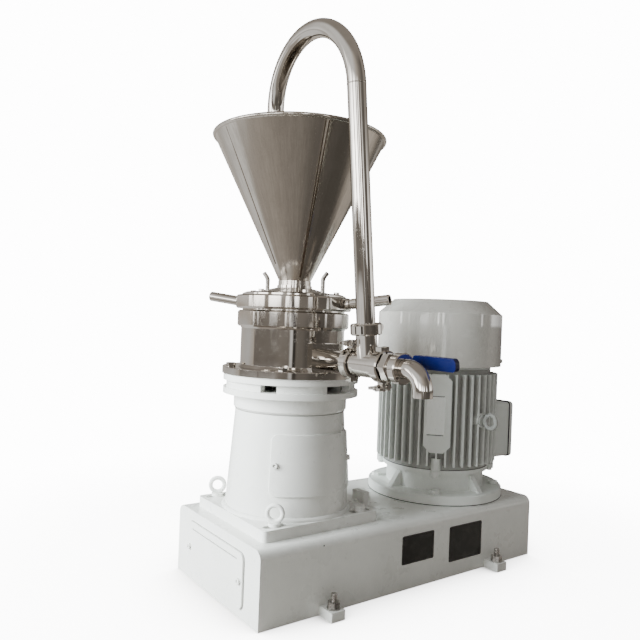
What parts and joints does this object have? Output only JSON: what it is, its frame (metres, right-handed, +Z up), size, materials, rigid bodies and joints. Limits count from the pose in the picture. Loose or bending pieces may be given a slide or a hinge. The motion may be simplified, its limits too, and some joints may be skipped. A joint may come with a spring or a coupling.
{
  "type": "colloid mill",
  "caption": "Split vertical colloid mill: hopper and milling head on a cast column, belt-driven by a flange motor on a shared base, with a three-way outlet valve and return pipe.",
  "frame": {"origin": "on the floor under the middle of the base", "axes": "+X along the base towards the motor, -Y to the side of the outlet and spout, +Z up"},
  "size_m": [0.7825, 0.5795, 1.0281],
  "materials": {
    "cream_paint": "gloss enamel over cast and welded steel",
    "motor_paint": "satin enamel",
    "cowl_paint": "gloss enamel",
    "polished_steel": "mirror-polished stainless steel",
    "hopper_steel": "satin stainless sheet",
    "dark_steel": "blackened steel",
    "tool_steel": "ground hardened steel",
    "bearing_steel": "turned bright steel",
    "copper_winding": "enamelled winding and stacked sheet",
    "seal_carbon": "lapped carbon",
    "black_rubber": "matt rubber and fabric",
    "white_gasket": "white rubber",
    "black_plastic": "moulded matt",
    "blue_plastic": "dipped soft gloss"
  },
  "bodies": {
    "stand": {"base_frame": "cream_paint", "hold_down_studs": "dark_steel", "hold_down_nuts": "dark_steel", "end_cover": "cream_paint", "cover_screws": "cream_paint", "jack_screws": "dark_steel", "column": "cream_paint", "inspection_cover": "cream_paint", "column_eyebolts": "cream_paint", "column_bolts": "cream_paint", "seat_ring": "cream_paint", "mill_bearings": "bearing_steel", "bearing_caps": "dark_steel", "seal_seat": "seal_carbon", "mill_housing": "polished_steel", "housing_bolts": "polished_steel", "outlet_pipe": "polished_steel", "valve_body": "polished_steel", "return_pipe": "polished_steel", "outlet_adapter": "polished_steel", "spout": "polished_steel", "spout_nut": "polished_steel", "clamp_bands": "polished_steel", "clamp_bolts": "polished_steel", "wing_nuts": "polished_steel", "pipe_gaskets": "white_gasket", "drive_belts": "black_rubber", "motor_flange": "motor_paint", "motor_frame": "motor_paint", "motor_rear_bracket": "motor_paint", "fan_cowl": "cowl_paint", "terminal_box": "motor_paint", "terminal_lid": "dark_steel", "cable_gland": "dark_steel", "motor_eyebolt": "motor_paint", "motor_flange_bolts": "motor_paint", "motor_tie_bolts": "motor_paint", "motor_bearings": "bearing_steel", "motor_stator": "copper_winding"},
    "stator_lift": {"stator_carrier": "polished_steel", "grinding_stator": "tool_steel", "top_cover": "polished_steel", "top_cover_screws": "polished_steel", "cover_hooks": "dark_steel", "hopper": "hopper_steel"},
    "adjuster": {"adjusting_ring": "polished_steel", "handle_rods": "polished_steel", "handle_grips": "polished_steel"},
    "mill_rotor": {"mill_shaft": "bearing_steel", "grinding_rotor": "tool_steel", "rotor_cap": "tool_steel", "seal_ring": "seal_carbon", "mill_pulley": "dark_steel"},
    "motor_rotor": {"motor_shaft": "bearing_steel", "rotor_core": "bearing_steel", "cooling_fan": "black_plastic", "motor_pulley": "dark_steel"},
    "valve_plug": {"valve_ball": "polished_steel", "valve_lever": "polished_steel", "lever_grip": "blue_plastic"}
  },
  "joints": [
    {"name": "gap_feed", "type": "slide", "parent": "stand", "child": "stator_lift", "axis": [0, 0, 1], "range_m": [0, 0.0016]},
    {"name": "adjuster_turn", "type": "hinge", "parent": "stator_lift", "child": "adjuster", "pos_m": [-0.2, 0, 0.524], "axis": [0, 0, 1], "range_deg": [0, 180]},
    {"name": "mill_spin", "type": "hinge", "parent": "stand", "child": "mill_rotor", "pos_m": [-0.2, 0, 0.375], "axis": [0, 0, 1], "continuous": true},
    {"name": "motor_spin", "type": "hinge", "parent": "stand", "child": "motor_rotor", "pos_m": [0.205, 0, 0.197], "axis": [0, 0, 1], "continuous": true},
    {"name": "lever_turn", "type": "hinge", "parent": "stand", "child": "valve_plug", "pos_m": [-0.2, -0.227, 0.436], "axis": [0.9951, 0, 0.0993], "range_deg": [0, 90]}
  ],
  "couplings": [
    {"joint": "gap_feed", "follows": "adjuster_turn", "m_per_rad": 0.00047746},
    {"joint": "mill_spin", "follows": "motor_spin", "ratio": 2}
  ]
}
